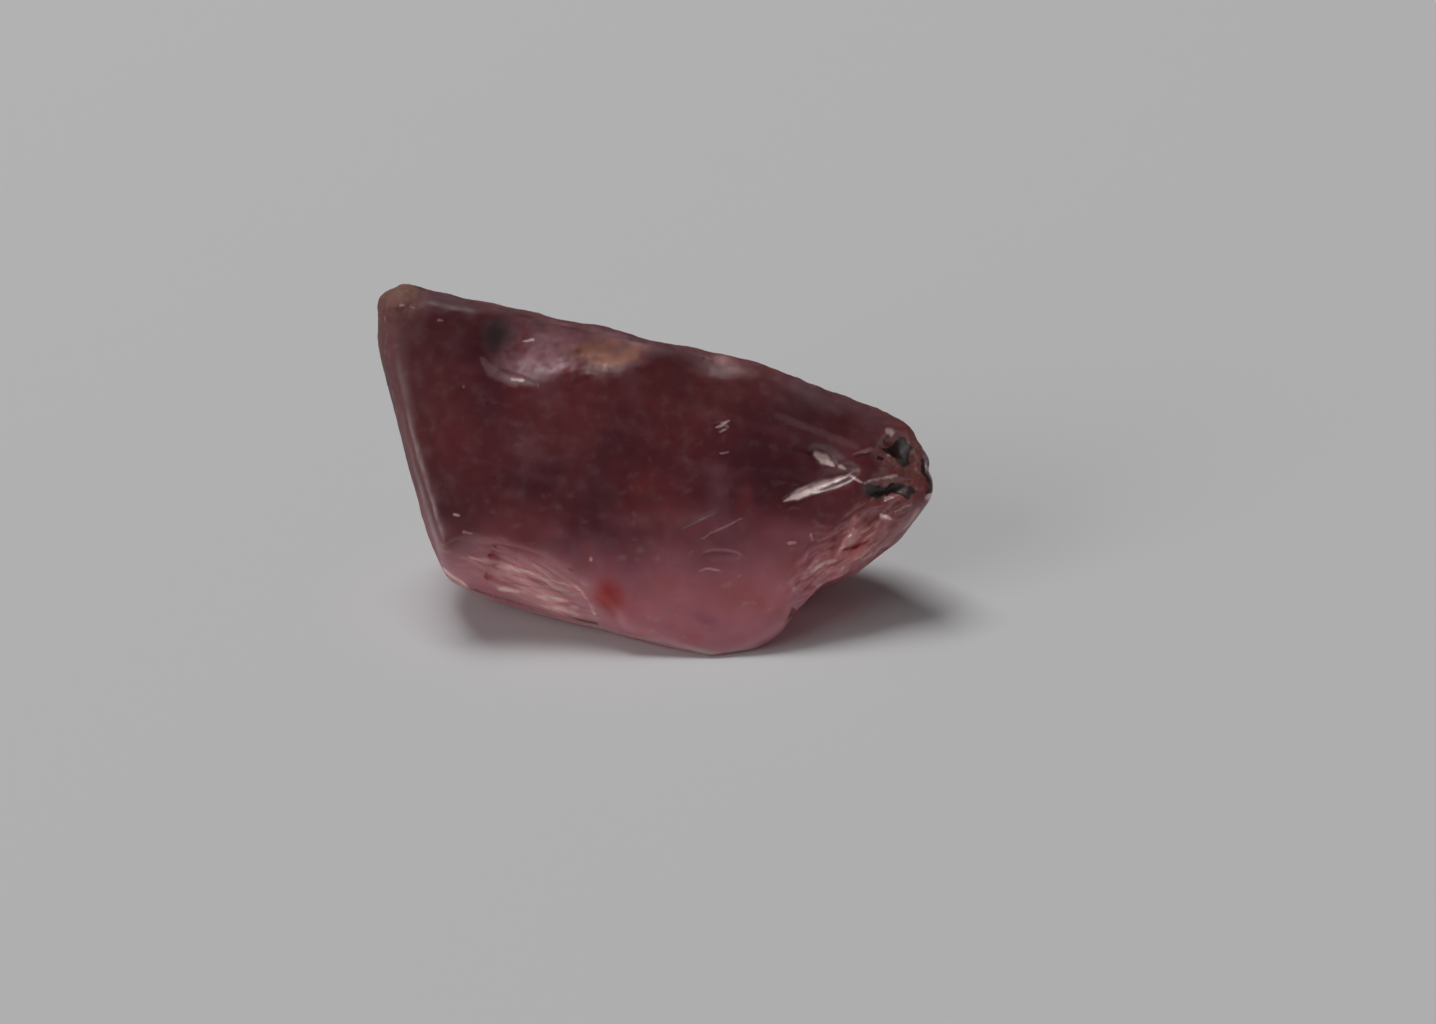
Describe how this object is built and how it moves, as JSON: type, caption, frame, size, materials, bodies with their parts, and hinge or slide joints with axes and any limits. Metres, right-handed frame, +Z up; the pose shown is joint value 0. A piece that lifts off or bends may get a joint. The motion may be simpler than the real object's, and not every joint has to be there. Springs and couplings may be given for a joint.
{
  "type": "rough sapphire",
  "caption": "Rough, waterworn sapphire crystal fragment: a broad flat front face, a tall blunt end, a thin chipped end and a flat parting face it lies on.",
  "frame": {"origin": "middle of the stone's box, on the flat parting face it lies on", "axes": "+Z up from the parting face; +X along the stone's length, from its tall end to its thin end; the broad front face looks towards -Y and up"},
  "size_m": [0.0112, 0.0056, 0.0062],
  "materials": {
    "sapphire": "see-through pink-brown corundum, waterworn satin skin with glossy fresh breaks"
  },
  "bodies": {
    "root": {"stone": "sapphire"}
  },
  "joints": []
}
